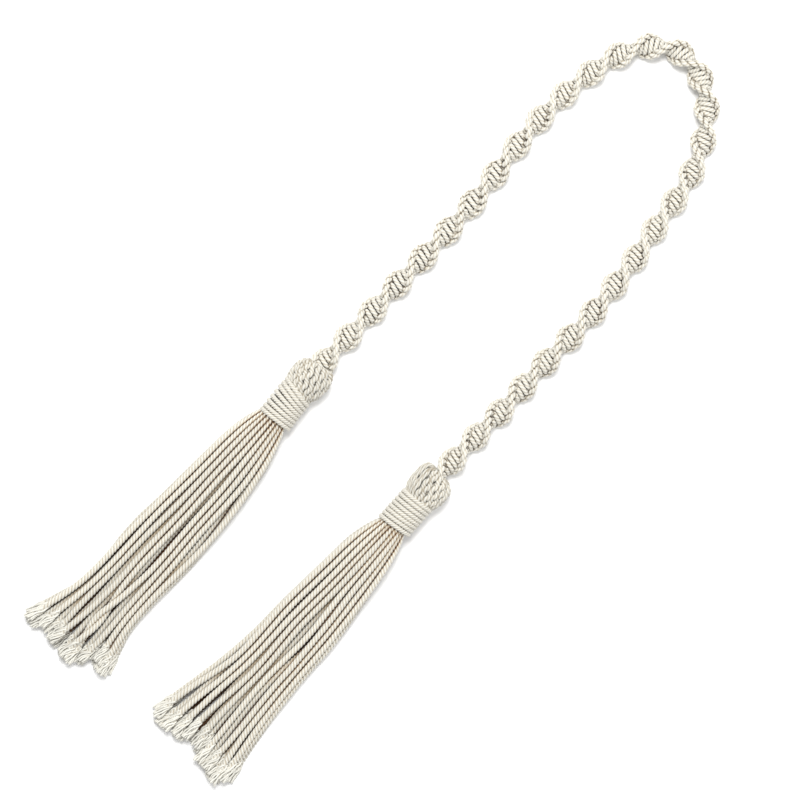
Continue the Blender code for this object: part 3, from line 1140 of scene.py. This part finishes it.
def add_strand(mesh, path, distance, end, shelter, radius, lay, tone, rng):
    """One laid strand, from inside the binding to where it is teased open."""
    strand = fine_path(path, distance, -ROOT_DEPTH, end, STRAND_STEP)
    below = np.linspace(-ROOT_DEPTH, end, len(strand))
    phase = rng.uniform(0, MOST_PHASE)
    cover = np.interp(below, distance, shelter)
    gap_shading = np.interp(below, GAP_PLACES, (rng.uniform(*ROOT_GAP_SHADE), *GAP_SHADE_STRENGTHS))
    width = SQUEEZE * strand_radius(below) / FULL_STRAND + (1 - SQUEEZE)
    mesh.add(
        strand, radius, lay, RINGS["strand"], LAID_PROFILE, tone, phase, cover, gap_shading, width, from_above=True
    )


def add_yarns(mesh, path, distance, length, fray, radius, tone, rng):
    """The teased yarns of one strand's end, which spread and keep the wave of the lay."""
    for i in range(YARNS_PER_STRAND):
        start = length - fray * rng.uniform(*YARN_STARTS)
        end = length + rng.uniform(*YARN_ENDS)
        line = fine_path(path, distance, start, min(end, distance[-1]), YARN_STEP)
        share = np.linspace(0, 1, len(line))
        angle = 2 * math.pi * (i + rng.uniform(-YARN_JITTER, YARN_JITTER)) / YARNS_PER_STRAND
        spread = radius * YARN_INSETS[i % len(YARN_INSETS)] * (1 + YARN_SPREAD * share)
        twist = angle - YARN_TWIST * (1 - share) ** 2
        waves = share * (end - start) / rng.uniform(*YARN_WAVE_LENGTHS) + rng.uniform()
        wave = 2 * math.pi * waves
        line[:, 0] += spread * np.cos(twist) + YARN_WAVE * np.sin(wave)
        line[:, 2] += spread * np.sin(twist) + YARN_WAVE * np.cos(wave)
        line[:, 2] = np.maximum(line[:, 2], YARN_RADIUS)
        yarn_tone_and_shade = tone * rng.uniform(*YARN_TONES)
        mesh.add(line, YARN_RADIUS, 0.0, RINGS["yarn"], YARN_PROFILE, yarn_tone_and_shade)


class TIEBACK_OT_hang_strands(bpy.types.Operator):
    """Lay the strands of each tassel and tease their ends open into yarns."""

    bl_idname = "tieback.hang_strands"
    bl_label = "Hang Strands"

    def execute(self, context):
        diameter, lay, colour = cord_facts(context)
        radius = diameter / 2
        fray = context.scene.tieback_sizes.fray_length / MM
        for side, axis_x, head_length, wrap_length, _, skirt, ends in TASSELS:
            rng = np.random.default_rng(SEEDS[side])
            title = "tassel cotton cord " + side
            cotton = laid_cotton(title, colour, GAP_SHADE_DEPTH["strand"], OPEN_GAP_SHADES, STRAND_PLY_SHADE_SHARE)
            teased = laid_cotton("teased cotton yarn " + side, colour, GAP_SHADE_DEPTH["yarn"], CLOSE_GAP_SHADES)
            wrap_end = -GAP - head_length - wrap_length
            mesh = CordMesh(reach=1.0)
            yarns = CordMesh(reach=0.35)
            for path, distance, length, layer, shelter in strand_paths(axis_x, wrap_end, skirt, ends, rng):
                # Painted shade: lower layers of strands get a darker tone, times a random tone
                tone = LAYER_SHADED_TONES[layer] * rng.uniform(*STRAND_TONES)
                end = length - fray * LAID_END
                add_strand(mesh, path, distance, end, shelter, radius, lay, tone, rng)
                add_yarns(yarns, path, distance, length, fray, radius, tone, rng)
            keep_piece(mesh.build("strands_" + side, cotton), "tassel_" + side)
            keep_piece(yarns.build("frayed_ends_" + side, teased), "tassel_" + side)
        return {"FINISHED"}


def picture_point(right, up, height):
    """A point placed by its distance to the right and up in the picture from its middle."""
    x = right * math.cos(PICTURE_TURN) - up * math.sin(PICTURE_TURN)
    y = right * math.sin(PICTURE_TURN) + up * math.cos(PICTURE_TURN)
    return Vector((CAMERA_TARGET[0] + x, CAMERA_TARGET[1] + y, height))


def add_softbox(name, place, size, power):
    """A round soft light that faces the middle of the picture."""
    light = bpy.data.lights.new(name, "AREA")
    light.shape = "DISK"
    light.size = size
    light.energy = power
    lamp = bpy.data.objects.new(name, light)
    lamp.location = picture_point(*place)
    aim = picture_point(0.0, 0.0, 0.0) - lamp.location
    lamp.rotation_euler = aim.to_track_quat("-Z", "Y").to_euler()
    bpy.context.collection.objects.link(lamp)


def painted_board():
    """White painted board, rolled matt.

    Its faint orange-peel texture keeps the surface from looking like empty space.
    """
    surface = {"Roughness": 0.9, "Specular IOR Level": 0.1, "Base Color": linear(BOARD_COLOUR)}
    material, tree, shader = new_material("matt white painted board", surface)
    peel = add_node(tree, "TexNoise", inputs={"Scale": 900.0, "Detail": 2.0})
    bump = add_node(
        tree, "Bump", None, {"Strength": 0.05, "Distance": 0.0002}, {"Height": peel.outputs["Fac"]}
    )
    tree.links.new(bump.outputs["Normal"], shader.inputs["Normal"])
    return material


def add_board():
    """The board that the tieback lies on."""
    half = BOARD_HALF
    corners = [(-half, -half, 0), (half, -half, 0), (half, half, 0), (-half, half, 0)]
    mesh = bpy.data.meshes.new("board")
    mesh.from_pydata(corners, [], [(0, 1, 2, 3)])
    mesh.materials.append(painted_board())
    board = bpy.data.objects.new("board", mesh)
    bpy.context.collection.objects.link(board)


class TIEBACK_OT_set_stage(bpy.types.Operator):
    """Set the white board, the soft lights and the camera that looks straight down."""

    bl_idname = "tieback.set_stage"
    bl_label = "Set Stage"

    def execute(self, context):
        add_board()
        for name, place, size, power in SOFTBOXES:
            add_softbox(name, place, size, power)
        world = bpy.data.worlds.new("studio")
        world.use_nodes = True
        background = world.node_tree.nodes["Background"]
        background.inputs["Color"].default_value = (1.0, 1.0, 1.0, 1.0)
        background.inputs["Strength"].default_value = SURROUND_STRENGTH
        context.scene.world = world
        context.scene.view_settings.view_transform = "Standard"

        data = bpy.data.cameras.new("camera")
        data.sensor_width = SENSOR
        data.lens = SENSOR * CAMERA_HEIGHT / FIELD
        camera = bpy.data.objects.new("camera", data)
        camera.location = (*CAMERA_TARGET, CAMERA_HEIGHT)
        camera.rotation_euler = (0.0, 0.0, PICTURE_TURN)
        context.scene.collection.objects.link(camera)
        context.scene.camera = camera
        return {"FINISHED"}


class TIEBACK_PT_sidebar(bpy.types.Panel):
    """Sizes, colours and steps of the tieback."""

    bl_idname = "TIEBACK_PT_sidebar"
    bl_label = "Cotton Tieback"
    bl_space_type = "VIEW_3D"
    bl_region_type = "UI"
    bl_category = "Tieback"

    def draw(self, context):
        sizes = context.scene.tieback_sizes
        colours = context.scene.tieback_colours
        column = self.layout.column()
        for name in ("cord_diameter", "cord_lay", "binding_diameter", "fray_length"):
            column.prop(sizes, name)
        column.prop(colours, "cotton")
        column.prop(colours, "binding")
        for step in STEPS:
            column.operator(step.bl_idname)


STEPS = (
    TIEBACK_OT_knot_sinnet,
    TIEBACK_OT_fold_heads,
    TIEBACK_OT_wind_bindings,
    TIEBACK_OT_hang_strands,
    TIEBACK_OT_set_stage,
)
CLASSES = (TiebackSizes, TiebackColours) + STEPS + (TIEBACK_PT_sidebar,)


def register():
    """Register the classes and hang the sizes and colours on the scene."""
    for cls in CLASSES:
        bpy.utils.register_class(cls)
    bpy.types.Scene.tieback_sizes = PointerProperty(type=TiebackSizes)
    bpy.types.Scene.tieback_colours = PointerProperty(type=TiebackColours)


def unregister():
    """Take the sizes, the colours and the classes away again."""
    del bpy.types.Scene.tieback_colours
    del bpy.types.Scene.tieback_sizes
    for cls in reversed(CLASSES):
        bpy.utils.unregister_class(cls)


def main():
    """Build the tieback and its stage, one step after the other."""
    register()
    bpy.ops.tieback.knot_sinnet()
    bpy.ops.tieback.fold_heads()
    bpy.ops.tieback.wind_bindings()
    bpy.ops.tieback.hang_strands()
    bpy.ops.tieback.set_stage()


if __name__ == "__main__":
    main()
